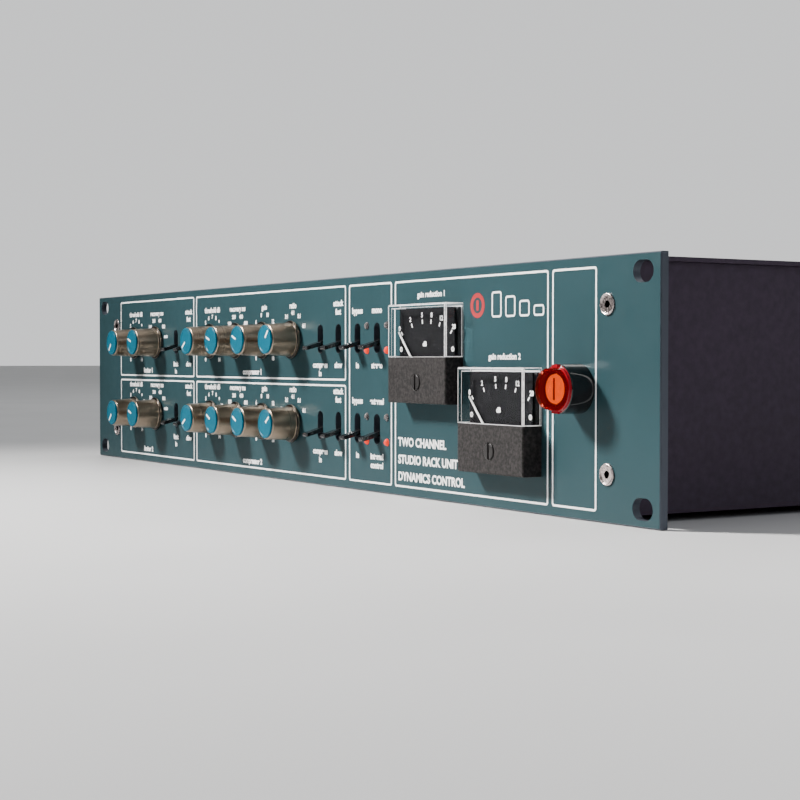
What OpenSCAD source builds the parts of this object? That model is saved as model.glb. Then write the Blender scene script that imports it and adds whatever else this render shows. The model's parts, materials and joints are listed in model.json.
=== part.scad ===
// Two-channel limiter/compressor in a two-unit 19-inch rack case.
// The origin is the centre of the four rack slots on the panel's rear face.
// X runs to the right seen from the front, Y runs back into the rack and Z runs up.

/* [Front panel] */
// Width of the rack panel
panel_w = 482.6; // [480:0.1:484]
// Height of the rack panel, two rack units
panel_h = 88.1; // [87.8:0.1:88.9]
// Thickness of the rack panel
panel_t = 3; // [2.5:0.1:3.5]
// Distance between the rack slots' centres, left to right
slot_span_x = 465.1; // [462:0.1:466]
// Distance between the rack slots' centres, bottom to top
slot_span_z = 76.2; // [75:0.1:76.6]
// Length of a rack slot from end to end
slot_len = 10.2; // [9:0.1:11]
// Width of a rack slot
slot_w = 7.2; // [6.6:0.1:7.6]
// Distance of the panel screws from the panel's centre, sideways
panel_screw_x = 214.5; // [214:0.1:215.5]
// Distance of the panel screws from the panel's centre, up and down
panel_screw_z = 28; // [24:0.5:32]

/* [Case] */
// Width of the case over its side walls
case_w = 440; // [438:0.5:442]
// Depth of the case behind the panel
case_d = 254; // [250:1:300]
// Depth of the case's lower face below the panel's centre
case_bottom = 41.5; // [41:0.1:42.5]
// Height of the cover's upper face above the panel's centre
case_top = 43.9; // [43.5:0.1:44]
// Thickness of the chassis sheet
sheet_t = 1.5; // [1.2:0.1:1.6]
// Thickness of the top cover and of the rear panel
plate_t = 1.6; // [1.5:0.1:1.8]
// How far the top cover stands out past each side wall
cover_lip = 2; // [1:0.1:2.5]

/* [Knobs] */
// Height of a control row above and below the panel's centre
row_z = 18.5; // [18:0.1:19]
// Distance between neighbouring knobs
knob_pitch = 28; // [27.5:0.1:28.5]
// Place of the first limit knob
limit_knob_x = -187.5; // [-188:0.1:-186]
// Place of the first compress knob
compress_knob_x = -91.5; // [-92:0.1:-90]
// Radius of a knob at the foot of its barrel
knob_r = 7.4; // [7.35:0.05:7.6]
// Radius of a knob at the front of its barrel
knob_tip_r = 6.8; // [6.6:0.05:7]
// Radius of the thin skirt round a knob's foot
knob_skirt_r = 8.4; // [8.2:0.05:8.8]
// Height of a knob's metal body above the panel
knob_top = 13.4; // [13.2:0.1:14]
// Radius of the coloured cap in a knob's front
cap_r = 6.3; // [6:0.05:6.4]
// Radius of a control's shaft
shaft_r = 3; // [2.9:0.05:3.1]

/* [Toggle switches] */
// Place of the left toggle of the limit section
limit_toggle_x = -135.2; // [-136:0.1:-134.5]
// Place of the left toggle of the compress section
compress_toggle_x = 17.7; // [17:0.1:18.2]
// Place of the left toggle of the switch section
switch_toggle_x = 49.7; // [49.4:0.1:50.2]
// Distance between neighbouring toggles
toggle_pitch = 15.8; // [15.5:0.1:16]
// Angle of a lever to each side of straight out
lever_swing = 16; // [12:0.5:17]
// Distance of a lever's pivot behind the panel's front face
lever_pivot = 6.5; // [6.2:0.1:7]
// Height of a lever's tip above the panel when it is down
lever_reach = 8; // [7:0.1:9]
// Width of a lever's paddle
lever_w = 3.9; // [3.4:0.1:4]
// Width of an upright slot in the panel
toggle_slot_w = 4.8; // [4.6:0.1:5.2]
// Height of an upright slot in the panel
toggle_slot_h = 12.4; // [12:0.1:13]

/* [Meters] */
// Width of a meter
meter_w = 41.5; // [41:0.1:42]
// Height of a meter
meter_h = 38; // [37.6:0.1:38.4]
// Height of a meter's face above the panel
meter_d = 8; // [8:0.1:9]
// Height of the clear window, the rest is the dark cover
window_h = 20.3; // [19.5:0.1:21]
// Place of the upper meter, sideways
meter_1_x = 108; // [107.5:0.1:108.5]
// Place of the lower meter, sideways
meter_2_x = 157.4; // [157:0.1:158]
// Height of the upper meter above the panel's centre, and drop of the lower one
meter_z = 12; // [11.5:0.1:12.2]
// Length of a needle from its pivot to its tip
needle_len = 26.4; // [24:0.1:26.6]
// Angle of a needle's rest place, left of upright
needle_rest = 43; // [40:0.5:44]
// Radius of the slotted zero adjuster in a meter's cover
adjuster_r = 3; // [2.5:0.1:3.2]

/* [Power switch and lamps] */
// Place of the power switch, sideways
power_x = 199.3; // [198.5:0.1:199.5]
// Radius of the power switch's black barrel
power_r = 8.4; // [8.3:0.05:8.6]
// Height of the black barrel above the panel
power_h = 9.3; // [9:0.1:10]
// Radius of the red push button
button_r = 7; // [6.8:0.05:7.05]
// Height of the push button above the panel
button_top = 13.4; // [13:0.1:14.5]
// Radius of an indicator lamp
lamp_r = 1.5; // [1.4:0.05:1.6]

/* [Hidden] */
fine = 64;
eps = 0.02;          // standing gap between pieces that touch on the bench
run = 0.05;          // radial running clearance of shafts and pins
front_y = -panel_t;
half_w = case_w / 2;
floor_z = -case_bottom + sheet_t;
cover_z = case_top - plate_t;
roof_z = cover_z - eps;
rear_in = case_d - plate_t;
flange_w = 8.5;
pivot_z = -lever_pivot;
meter_wall = 1.3;
cover_part_h = meter_h - window_h - 0.1;
needle_pivot_y = -10.9;
dial_top = 3;
needle_z = 4;
toroid_x = 162;
toroid_y = 120;
inlet_x = 180;
socket_flange = 2;
inlet_flange = 2.5;
rear_screw_x = 215;
screw_r = 1.55;
screw_hole_r = screw_r + run;

// One row per rotary control: name, place, row (+1 upper, -1 lower), pointer angle
// clockwise from straight up, and depth of the control's body behind the panel
CONTROLS = [
  for (ch = [1, 2]) let (up = ch == 1 ? 1 : -1) each [
    [str("limit_threshold_", ch), limit_knob_x, up, -140, 14],
    [str("limit_recovery_", ch), limit_knob_x + knob_pitch, up, -70, 24],
    [str("compress_threshold_", ch), compress_knob_x, up, -124, 14],
    [str("compress_recovery_", ch), compress_knob_x + knob_pitch, up, ch == 1 ? -71 : -63, 24],
    [str("gain_", ch), compress_knob_x + 2 * knob_pitch, up, ch == 1 ? -68 : -63, 14],
    [str("ratio_", ch), compress_knob_x + 3 * knob_pitch, up, ch == 1 ? 40 : 52, 24]
  ]
];

// One row per toggle switch: name, place, row
TOGGLES = [
  ["limit_in_1", limit_toggle_x, 1],
  ["limit_attack_1", limit_toggle_x + toggle_pitch, 1],
  ["compress_in_1", compress_toggle_x, 1],
  ["compress_attack_1", compress_toggle_x + toggle_pitch, 1],
  ["bypass_1", switch_toggle_x, 1],
  ["mono_stereo", switch_toggle_x + toggle_pitch, 1],
  ["limit_in_2", limit_toggle_x, -1],
  ["limit_attack_2", limit_toggle_x + toggle_pitch, -1],
  ["compress_in_2", compress_toggle_x, -1],
  ["compress_attack_2", compress_toggle_x + toggle_pitch, -1],
  ["bypass_2", switch_toggle_x, -1],
  ["control_source", switch_toggle_x + toggle_pitch, -1]
];

METERS = [[meter_1_x, meter_z], [meter_2_x, -meter_z]];

// The lamps stand to the right of the switch section's levers, one above the other
lamp_dx = 7.9;
lamp_dz = 5;
LAMPS = [
  for (x = [switch_toggle_x, switch_toggle_x + toggle_pitch])
    for (up = [1, -1])
      for (side = [1, -1])
        [x + lamp_dx, up * row_z + side * lamp_dz]
];

// One row per socket on the rear: place and kind ("input" or "output")
SOCKETS = [
  [-185, "input"],
  [-148, "output"],
  [-100, "input"],
  [-63, "output"],
  [-15, "input"],
  [22, "input"]
];

// ---- placing ----

// Stands a piece on the panel's front face: its own z is the height above the panel
module on_front(x, z) {
  translate([x, front_y, z]) rotate([90, 0, 0]) children();
}

// Stands a piece on the rear panel: its own z points away from the case
module on_rear(x, z) {
  translate([x, case_d, z]) rotate([90, 0, 180]) children();
}

// A quarter arc of n steps about (r, z), from angle a to angle b
function arc(r, z, rad, a, b, n = 6) =
  [for (i = [0:n]) [r + rad * cos(a + (b - a) * i / n), z + rad * sin(a + (b - a) * i / n)]];

module slab(x0, y0, z0, x1, y1, z1) {
  translate([x0, y0, z0]) cube([x1 - x0, y1 - y0, z1 - z0]);
}

module rod(r, z0, z1) {
  translate([0, 0, z0]) cylinder(r = r, h = z1 - z0, $fn = fine);
}

module hexagon(flats, z0, z1) {
  translate([0, 0, z0]) cylinder(r = flats / sqrt(3), h = z1 - z0, $fn = 6);
}

// An upright or lying slot with round ends, cut through everything from z0 to z1
module slot(w, h, z0, z1) {
  long = max(w, h) - min(w, h);
  turn = h > w ? 90 : 0;
  rotate([0, 0, turn]) {
    slab(-long / 2, -min(w, h) / 2, z0, long / 2, min(w, h) / 2, z1);
    for (s = [-1, 1])
      translate([s * long / 2, 0, 0]) rod(min(w, h) / 2, z0, z1);
  }
}

// A plate with round corners
module plate(w, h, r, z0, z1) {
  slab(-w / 2 + r, -h / 2, z0, w / 2 - r, h / 2, z1);
  slab(-w / 2, -h / 2 + r, z0, w / 2, h / 2 - r, z1);
  for (sx = [-1, 1])
    for (sy = [-1, 1])
      translate([sx * (w / 2 - r), sy * (h / 2 - r), 0]) rod(r, z0, z1);
}

// ---- panel and case ----

module front_panel() {
  color([0.15, 0.27, 0.29])
    difference() {
      on_front(0, 0) {
        slab(-panel_w / 2, -panel_h / 2, -panel_t, panel_w / 2, panel_h / 2, -0.4);
        bevel_top();
      }
      for (sx = [-1, 1])
        for (sz = [-1, 1]) {
          on_front(sx * slot_span_x / 2, sz * slot_span_z / 2) slot(slot_len, slot_w, -panel_t - 1, 1);
          on_front(sx * panel_screw_x, sz * panel_screw_z) panel_screw_hole();
        }
      for (c = CONTROLS)
        on_front(c[1], c[2] * row_z) rod(4.85, -panel_t - 1, 1);
      for (t = TOGGLES)
        on_front(t[1], t[2] * row_z) slot(toggle_slot_w, toggle_slot_h, -panel_t - 1, 1);
      for (p = LAMPS)
        on_front(p[0], p[1]) rod(lamp_r + run, -panel_t - 1, 1);
      for (m = METERS)
        on_front(m[0], m[1]) rod(16.6, -panel_t - 1, 1);
      on_front(power_x, 0) rod(7.8, -panel_t - 1, 1);
    }
}

// The outer 0.4 mm of the panel, with its edges broken all round
module bevel_top() {
  edge = 0.4;
  intersection() {
    translate([0, panel_h / 2, 0]) rotate([90, 0, 0]) linear_extrude(panel_h)
      polygon([[-panel_w / 2, -edge], [panel_w / 2, -edge],
        [panel_w / 2 - edge, 0], [-panel_w / 2 + edge, 0]]);
    translate([-panel_w / 2, 0, 0]) rotate([90, 0, 90]) linear_extrude(panel_w)
      polygon([[-panel_h / 2, -edge], [panel_h / 2, -edge],
        [panel_h / 2 - edge, 0], [-panel_h / 2 + edge, 0]]);
  }
}

// Folded tray: floor, side walls, flanges for the panel, the rear plate and the cover
module chassis() {
  rear_y = rear_in - eps;
  color([0.22, 0.20, 0.25])
    difference() {
      union() {
        slab(-half_w, eps, -case_bottom, half_w, rear_y, floor_z);
        for (s = [0, 1]) mirror([s, 0, 0]) {
          slab(half_w - sheet_t, eps, -case_bottom, half_w, rear_y, roof_z);
          slab(half_w - flange_w, eps, -case_bottom, half_w, sheet_t, roof_z);
          slab(half_w - 9, rear_y - sheet_t, -case_bottom, half_w, rear_y, roof_z);
          slab(half_w - 12, eps, roof_z - sheet_t, half_w, rear_y, roof_z);
        }
      }
      for (sx = [-1, 1])
        for (sz = [-1, 1]) {
          on_front(sx * panel_screw_x, sz * panel_screw_z) rod(2, -10, 0);
          on_rear(sx * rear_screw_x, sz * panel_screw_z) rod(screw_hole_r, -10, 0);
        }
      for (p = cover_screws())
        translate([p[0], p[1], roof_z]) rod(screw_hole_r, -5, 5);
    }
}

// The cover screws' places: three along each side
function cover_screws() = [for (sx = [-1, 1]) for (f = [0.12, 0.5, 0.88]) [sx * (half_w - 7), f * case_d]];

// Flat cover plate with round front corners, wider than the case
module top_cover() {
  corner = 4;
  w = case_w + 2 * cover_lip;
  color([0.20, 0.18, 0.23])
    difference() {
      union() {
        slab(-w / 2 + corner, 0.3, cover_z, w / 2 - corner, case_d, case_top);
        slab(-w / 2, 0.3 + corner, cover_z, w / 2, case_d, case_top);
        for (s = [-1, 1])
          translate([s * (w / 2 - corner), 0.3 + corner, 0]) rod(corner, cover_z, case_top);
      }
      for (p = cover_screws())
        translate([p[0], p[1], case_top]) {
          rod(screw_hole_r, -3, 1);
          flush_cone(0.1);
        }
    }
}

module rear_panel() {
  color([0.20, 0.18, 0.23])
    difference() {
      slab(-half_w, rear_in, -case_bottom, half_w, case_d, roof_z);
      for (sx = [-1, 1])
        for (sz = [-1, 1])
          on_rear(sx * rear_screw_x, sz * panel_screw_z) rod(screw_hole_r, -10, 1);
      for (s = SOCKETS)
        on_rear(s[0], 0) {
          rod(12, -10, 1);
          for (e = socket_screws()) translate([e[0], e[1], 0]) rod(screw_hole_r, -10, 1);
        }
      on_rear(inlet_x, 0) {
        slab(-24.2, -13.7, -10, 24.2, 13.7, 1);
        for (e = inlet_screws()) translate([e[0], e[1], 0]) rod(screw_hole_r, -10, 1);
      }
    }
}

function socket_screws() = [[-9.5, 12], [9.5, -12]];
function inlet_screws() = [[-29, 0], [29, 0]];

// Sunk head with a hexagon socket in a low cup washer, shank and a nut behind the flange
module panel_screw() {
  difference() {
    rotate_extrude($fn = fine)
      polygon(concat(
        [[0, -1.5], [1.95, -1.5], [3, -0.4], [3, eps], [3.75, eps]],
        arc(3.35, 0.25, 0.4, 0, 90, 4),
        [[3.1, 0.55], [2.75, 0.25], [0, 0.25]]
      ));
    hexagon(2.5, -1.1, 3);
  }
  rod(1.95, -9.5, -1.4);
  difference() {
    rotate([0, 0, 30]) hexagon(7, -8.5, -panel_t - sheet_t - eps);
    rod(1.95 + eps, -10, -4);
  }
}

// Countersunk hole for a panel screw
module panel_screw_hole() {
  rod(2.1, -panel_t - 1, 1);
  rotate_extrude($fn = fine)
    polygon([[0, -1.55], [2.1, -1.55], [3.15, -0.45], [3.15, 1], [0, 1]]);
}

module panel_screws() {
  color([0.75, 0.75, 0.76])
    for (sx = [-1, 1])
      for (sz = [-1, 1])
        on_front(sx * panel_screw_x, sz * panel_screw_z) panel_screw();
}

// Cone of a flush screw's head, wider by gap for the hole that takes it
module flush_cone(gap) {
  cone_h = 1.3;
  rotate_extrude($fn = 48)
    polygon([[0, -cone_h], [screw_r + gap, -cone_h], [2.9 + gap, 0], [2.9 + gap, gap], [0, gap]]);
}

// Cross-head screw whose head lies flush with z = 0
module flush_screw(shank) {
  difference() {
    translate([0, 0, -0.05]) flush_cone(0);
    cross_recess(-0.7);
  }
  rod(screw_r, -shank, -1.3);
}

module cross_recess(z0) {
  slab(-1.6, -0.35, z0, 1.6, 0.35, z0 + 3);
  slab(-0.35, -1.6, z0, 0.35, 1.6, z0 + 3);
}

// Cross-head pan screw: the head stands at z = 0 and the shank runs down
module pan_screw(shank) {
  difference() {
    rotate_extrude($fn = 32)
      polygon(concat([[0, eps], [2.9, eps]], arc(1.5, 0.5, 1.4, 0, 80), [[0, 1.9]]));
    cross_recess(0.9);
  }
  rod(screw_r, -shank, eps + 0.1);
}

module case_screws() {
  color([0.12, 0.12, 0.13]) {
    for (p = cover_screws())
      translate([p[0], p[1], case_top]) flush_screw(6);
    for (sx = [-1, 1])
      for (sz = [-1, 1])
        on_rear(sx * rear_screw_x, sz * panel_screw_z) pan_screw(6);
    for (s = SOCKETS)
      for (e = socket_screws())
        on_rear(s[0], 0) translate([e[0], e[1], socket_flange]) pan_screw(7);
    for (e = inlet_screws())
      on_rear(inlet_x, 0) translate([e[0], e[1], inlet_flange]) pan_screw(7);
  }
}

// ---- rotary controls ----

// Turned metal knob, hollow behind for the nut and the bush, on its own shaft
module knob(c) {
  foot = 0.9;
  color([0.55, 0.53, 0.48])
    on_front(c[1], c[2] * row_z) {
      rotate_extrude($fn = 96)
        polygon(concat(
          [[6.7, foot], [knob_skirt_r - 0.2, foot], [knob_skirt_r, foot + 0.2]],
          [[knob_skirt_r, foot + 0.9], [knob_skirt_r - 0.2, foot + 1.1]],
          [[knob_r + 0.1, foot + 1.15], [knob_r, foot + 1.5]],
          [[knob_tip_r, knob_top - 0.9]],
          arc(knob_tip_r - 0.4, knob_top - 0.55, 0.4, 0, 60, 3),
          [[cap_r - 0.1, knob_top], [4.55, knob_top], [4.55, 10.4], [shaft_r + eps, 10.4]],
          [[shaft_r + eps, 6.4], [5.3, 6.4], [5.3, 3.7], [6.7, 3.7]]
        ));
      difference() {
        rod(shaft_r, -12.5, 10);
        slab(shaft_r - 0.6, -4, 7, 4, 4, 11);
      }
    }
}

// Coloured plug in the knob's front, with a groove for the pointer line
module cap(c) {
  top = knob_top + 0.9;
  edge = 0.35;
  color([0.13, 0.62, 0.74])
    on_front(c[1], c[2] * row_z)
      difference() {
        rotate_extrude($fn = 96)
          polygon(concat(
            [[0, 10.6], [4.45, 10.6], [4.45, knob_top + eps], [cap_r, knob_top + eps]],
            arc(cap_r - edge, top - edge, edge, 0, 90, 4),
            [[cap_r - 0.9, top], [cap_r - 1.1, top - 0.15], [0, top - 0.15]]
          ));
        rotate([0, 0, -c[3]]) slab(-0.5, 1, top - 0.4, 0.5, 5, top + 1);
      }
}

// Control body behind the panel, with its bush through the panel, washer and nut
module rotary_control(depth) {
  body_r = depth > 20 ? 13 : 12;
  back = -panel_t - depth;
  difference() {
    union() {
      rod(4.7, -panel_t - 1, 6);
      rod(body_r, back, -panel_t - 0.05);
      rod(body_r - 2, back - 2, back + 1);
      for (i = [-1:1])
        rotate([0, 0, 270 + 22 * i]) slab(body_r - 2, -1, back + 2, body_r + 4, 1, back + 2.8);
    }
    rod(shaft_r + run, -13, 7);
  }
  difference() {
    rod(6.6, eps, 0.6);
    rod(4.7 + eps, -1, 2);
  }
  difference() {
    hexagon(11, 0.6 + eps, 2.8);
    rod(4.7 + eps, -1, 4);
  }
}

module rotary_controls() {
  color([0.35, 0.36, 0.38])
    for (c = CONTROLS)
      on_front(c[1], c[2] * row_z) rotary_control(c[4]);
}

// ---- toggle switches ----

// Flat paddle on a round hub, tilted down to its rest place
module lever(t) {
  long = (lever_reach + lever_pivot) / cos(lever_swing);
  tip_r = 0.9;
  color([0.06, 0.06, 0.07])
    on_front(t[1], t[2] * row_z)
      translate([0, 0, pivot_z]) rotate([lever_swing, 0, 0])
        difference() {
          union() {
            rotate([0, 90, 0]) translate([0, 0, -1.8]) cylinder(r = 2.3, h = 3.6, $fn = 48);
            intersection() {
              translate([0, 10, 0]) rotate([90, 0, 0]) linear_extrude(20)
                polygon(concat(
                  [[-1.3, 0], [1.3, 0], [1.5, 6], [lever_w / 2, 9.5]],
                  arc(lever_w / 2 - tip_r, long - tip_r, tip_r, 0, 90, 5),
                  arc(-lever_w / 2 + tip_r, long - tip_r, tip_r, 90, 180, 5),
                  [[-lever_w / 2, 9.5], [-1.5, 6]]
                ));
              translate([-10, 0, 0]) rotate([90, 0, 90]) linear_extrude(20)
                polygon(concat(
                  [[-1.1, 0], [1.1, 0], [0.95, 6], [0.75, long - 1]],
                  arc(0, long - 0.75, 0.75, 0, 180, 8),
                  [[-0.75, long - 1], [-0.95, 6]]
                ));
            }
            slab(-1.2, -0.8, -4, 1.2, 0.8, 0);
          }
          rotate([0, 90, 0]) translate([0, 0, -3]) cylinder(r = 0.85, h = 6, $fn = 32);
        }
}

// Switch housing behind a slot, with the pin that its lever turns on
module toggle_body() {
  back = -panel_t - 15;
  difference() {
    slab(-4, -8.2, back, 4, 8.2, -panel_t - 0.05);
    slab(-2.3, -6.4, -13, 2.3, 6.4, 0);
  }
  translate([-3, 0, pivot_z]) rotate([0, 90, 0]) cylinder(r = 0.8, h = 6, $fn = 32);
  for (i = [-1:1])
    slab(-1, 5 * i - 0.4, back - 4, 1, 5 * i + 0.4, back + 0.5);
}

module toggle_bodies() {
  color([0.1, 0.1, 0.11])
    for (t = TOGGLES)
      on_front(t[1], t[2] * row_z) toggle_body();
}

// ---- lamps and power switch ----

// Round lamp with a domed front and a collar behind the panel
module indicator_lamps() {
  color([0.9, 0.35, 0.3])
    for (p = LAMPS)
      on_front(p[0], p[1])
        rotate_extrude($fn = 48)
          polygon(concat(
            [[0, -panel_t - 4.5], [1.9, -panel_t - 4.5], [1.9, -panel_t - 0.05], [lamp_r, -panel_t - 0.05]],
            arc(0, -0.3, lamp_r, 0, 90, 10)
          ));
}

// Black barrel with a red collar ring, the body behind the panel and its lock nut
module power_switch_body() {
  wall_r = button_r + 0.1;
  color([0.06, 0.06, 0.07])
    on_front(power_x, 0) {
      difference() {
        union() {
          rotate_extrude($fn = 96)
            polygon(concat(
              [[0, eps], [power_r, eps]],
              arc(power_r - 0.5, power_h - 0.5, 0.5, 0, 90, 4),
              [[power_r - 0.6, power_h], [power_r - 0.6, power_h + 0.6]],
              [[power_r - 0.8, power_h + 0.8], [0, power_h + 0.8]]
            ));
          for (s = [-1, 1])
            translate([0, s * (power_r - 1.1), 0]) slab(-1.6, -0.9, power_h - 0.5, 1.6, 0.9, power_h + 1);
          rod(7.6, -28, 1);
        }
        rod(wall_r, 0.6, power_h + 3);
        rod(2.5, -12, 2);
      }
      difference() {
        hexagon(17.6, -6.5, -panel_t - 0.05);
        rod(7.6 + eps, -8, 0);
      }
      for (s = [-1, 1])
        slab(s * 3 - 0.4, -2, -34, s * 3 + 0.4, 2, -28 - eps);
    }
}

// Translucent red cup over the lamp carrier on its stem
module power_button() {
  edge = 0.7;
  wall = 1;
  foot = 3.6;
  inner = button_r - wall;
  color([0.85, 0.1, 0.08])
    on_front(power_x, 0) {
      rotate_extrude($fn = 96)
        polygon(concat(
          [[inner, foot], [button_r, foot]],
          arc(button_r - edge, button_top - edge, edge, 0, 90, 6),
          [[0, button_top], [0, button_top - 1.2], [inner, button_top - 1.2]]
        ));
      rotate_extrude($fn = 96)
        polygon([[0, -6], [2.4, -6], [2.4, 9], [5.7, 9.6], [5.7, 10.3], [0, 10.3]]);
    }
}

// ---- meters ----

module on_meter(i) {
  on_front(METERS[i][0], METERS[i][1]) children();
}

module meter_windows() {
  top = meter_h / 2;
  low = top - window_h;
  inner = meter_w / 2 - meter_wall;
  color([0.85, 0.88, 0.9, 0.35])
    for (i = [0, 1])
      on_meter(i)
        difference() {
          intersection() {
            slab(-meter_w / 2, low, eps, meter_w / 2, top, meter_d);
            meter_envelope();
          }
          slab(-inner, low - 1, -1, inner, top - meter_wall, meter_d - meter_wall);
        }
}

// The meter's outside with its front edges broken
module meter_envelope() {
  edge = 0.5;
  intersection() {
    translate([0, meter_h / 2, 0]) rotate([90, 0, 0]) linear_extrude(meter_h)
      polygon([[-meter_w / 2, 0], [meter_w / 2, 0], [meter_w / 2, meter_d - edge],
        [meter_w / 2 - edge, meter_d], [-meter_w / 2 + edge, meter_d], [-meter_w / 2, meter_d - edge]]);
    translate([-meter_w / 2, 0, 0]) rotate([90, 0, 90]) linear_extrude(meter_w)
      polygon([[-meter_h / 2, 0], [meter_h / 2, 0], [meter_h / 2, meter_d - edge],
        [meter_h / 2 - edge, meter_d], [-meter_h / 2 + edge, meter_d], [-meter_h / 2, meter_d - edge]]);
  }
}

module meter_covers() {
  low = -meter_h / 2;
  top = low + cover_part_h;
  inner = meter_w / 2 - meter_wall;
  color([0.2, 0.2, 0.2])
    for (i = [0, 1])
      on_meter(i)
        difference() {
          intersection() {
            slab(-meter_w / 2, low, eps, meter_w / 2, top, meter_d);
            meter_envelope();
          }
          slab(-inner, low + meter_wall, -1, inner, top + 1, meter_d - meter_wall);
          translate([0, needle_pivot_y, 0]) rod(adjuster_r + 0.1, 5, meter_d + 1);
        }
}

// Dial plates: the printed face of each meter, behind its window
module meter_dials() {
  w = meter_w - 2 * meter_wall - 0.6;
  top = meter_h / 2 - meter_wall - 0.3;
  color([0.16, 0.16, 0.18])
    for (i = [0, 1])
      on_meter(i)
        slab(-w / 2, -4.5, dial_top - 0.8, w / 2, top, dial_top);
}

// Base, round magnet housing through the panel, pole block and pivot pin
module meter_movements() {
  w = meter_w - 2 * meter_wall - 0.6;
  h = meter_h - 2 * meter_wall - 0.6;
  color([0.12, 0.12, 0.13])
    for (i = [0, 1])
      on_meter(i) {
        slab(-w / 2, -h / 2, 0.1, w / 2, h / 2, 1.4);
        rod(16.3, -24, 0.2);
        slab(-w / 2 + 2, 6, 1.3, w / 2 - 2, 9, dial_top - 0.8 - eps);
        slab(-9, -16, 1.3, 9, -4.7, needle_z - 0.5);
        translate([0, needle_pivot_y, 0]) rod(0.5, needle_z - 1, 5.1);
        for (s = [-1, 1])
          translate([s * 8, -4, 0]) rod(2, -30, -23);
      }
}

// Needle: hub on the pivot pin, long thin blade and a short counterweight
module needle(i) {
  color([0.95, 0.95, 0.95])
    on_meter(i)
      translate([0, needle_pivot_y, 0]) rotate([0, 0, needle_rest])
        difference() {
          union() {
            rod(1.7, needle_z, needle_z + 1);
            translate([0, 0, needle_z]) linear_extrude(0.35)
              polygon([[-0.5, 0], [0.5, 0], [0.3, needle_len], [-0.3, needle_len]]);
            slab(-0.9, -4.5, needle_z, 0.9, 0, needle_z + 0.6);
          }
          rod(0.5 + run, 0, 10);
        }
}

// Slotted screw in the dark cover, with the eccentric stub behind it
module zero_adjuster(i) {
  color([0.1, 0.1, 0.1])
    on_meter(i)
      translate([0, needle_pivot_y, 0])
        difference() {
          union() {
            rotate_extrude($fn = fine)
              polygon(concat(
                [[0, 6], [adjuster_r, 6]],
                arc(adjuster_r - 0.3, meter_d + 0.1, 0.3, 0, 90, 4),
                [[0, meter_d + 0.4]]
              ));
            translate([0.8, 0, 0]) rod(0.5, 5.4, 6.1);
          }
          slab(-0.5, -4, meter_d - 0.6, 0.5, 4, meter_d + 1);
        }
}

// ---- inside the case ----

// A board on posts, with rows of round capacitors and a line of small blocks
module board(x0, y0, x1, y1, pitch, tall) {
  z0 = -28;
  z1 = z0 + 1.6;
  color([0.05, 0.25, 0.14]) {
    slab(x0, y0, z0, x1, y1, z1);
    for (x = [x0 + 5, x1 - 5])
      for (y = [y0 + 5, y1 - 5])
        translate([x, y, 0]) rod(2.5, floor_z + eps, z0 + 0.1);
    for (x = [x0 + 14:pitch:x1 - 12])
      for (y = [y0 + 16:pitch * 1.3:y1 - 12]) {
        translate([x, y, 0]) rod(4, z1 - 0.1, z1 + tall);
        slab(x - 3, y + 7, z1 - 0.1, x + 3, y + 10, z1 + 5);
      }
  }
}

module circuit_boards() {
  board(-205, 48, -62, 175, 24, 16);
  board(-54, 48, 96, 175, 24, 16);
  board(118, 182, 206, 226, 21, 12);
}

// A round screened can on a base ring
module can_transformer(r, h) {
  rotate_extrude($fn = fine)
    polygon(concat(
      [[0, 0], [r + 2, 0], [r + 2, 1.5], [r, 1.5]],
      arc(r - 2, h - 2, 2, 0, 90, 4),
      [[0, h]]
    ));
}

// A laminated core with its winding and two mounting ears
module core_transformer() {
  slab(-21, -9, 0, 21, 9, 35);
  slab(-13, -15, 5, 13, 15, 30);
  difference() {
    slab(-29, -9, 0, 29, 9, 2);
    for (s = [-1, 1]) translate([s * 25, 0, 0]) rod(2, -1, 3);
  }
}

module audio_transformers() {
  color([0.4, 0.41, 0.43])
    for (s = SOCKETS)
      translate([s[0], 208, floor_z + eps])
        if (s[1] == "output")
          rotate([0, 0, 90]) core_transformer();
        else
          can_transformer(14, 30);
}

// Ring-shaped mains transformer with its clamp plate and bolt
module mains_transformer() {
  outer = 46;
  inner = 16;
  tall = 36;
  bend = 8;
  color([0.62, 0.5, 0.2])
    translate([toroid_x, toroid_y, floor_z + eps]) {
      rotate_extrude($fn = 96)
        polygon(concat(
          arc(outer - bend, bend, bend, -90, 0),
          arc(outer - bend, tall - bend, bend, 0, 90),
          arc(inner + bend, tall - bend, bend, 90, 180),
          arc(inner + bend, bend, bend, 180, 270)
        ));
      rod(28, tall + eps, tall + 2);
      rod(4, 0, tall + 1);
      translate([0, 0, tall + 2 - eps]) hexagon(10, 0, 5);
    }
}

// ---- rear connectors ----

// Mains inlet with three blades, a fuse drawer beside it and a filter box behind
module mains_inlet() {
  deep = 15;
  color([0.07, 0.07, 0.08])
    on_rear(inlet_x, 0) {
      difference() {
        union() {
          plate(66, 30, 3, eps, inlet_flange);
          slab(-23.9, -13.4, -30, 23.9, 13.4, 1);
        }
        translate([-8, 0, 0]) {
          intersection() {
            slab(-12.3, -8.3, -deep, 12.3, 8.3, 4);
            translate([0, 0, -deep - 1]) linear_extrude(deep + 6)
              polygon([[-12.3, -8.3], [12.3, -8.3], [12.3, 4.6], [8.6, 8.3], [-8.6, 8.3], [-12.3, 4.6]]);
          }
        }
        slab(9, -9, -1, 20, 9, 4);
        for (e = inlet_screws()) translate([e[0], e[1], 0]) rod(screw_hole_r, -5, 5);
      }
      translate([-8, 0, 0]) {
        for (s = [-1, 1]) slab(s * 7 - 1, -4.5, -deep - 1, s * 7 + 1, -0.5, -2);
        slab(-1, 0.5, -deep - 1, 1, 4.5, -0.5);
      }
      difference() {
        slab(9.3, -8.7, -1 + eps, 19.7, 8.7, 1.6);
        slab(12.5, -1.2, 0.6, 16.5, 1.2, 3);
      }
    }
}

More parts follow.
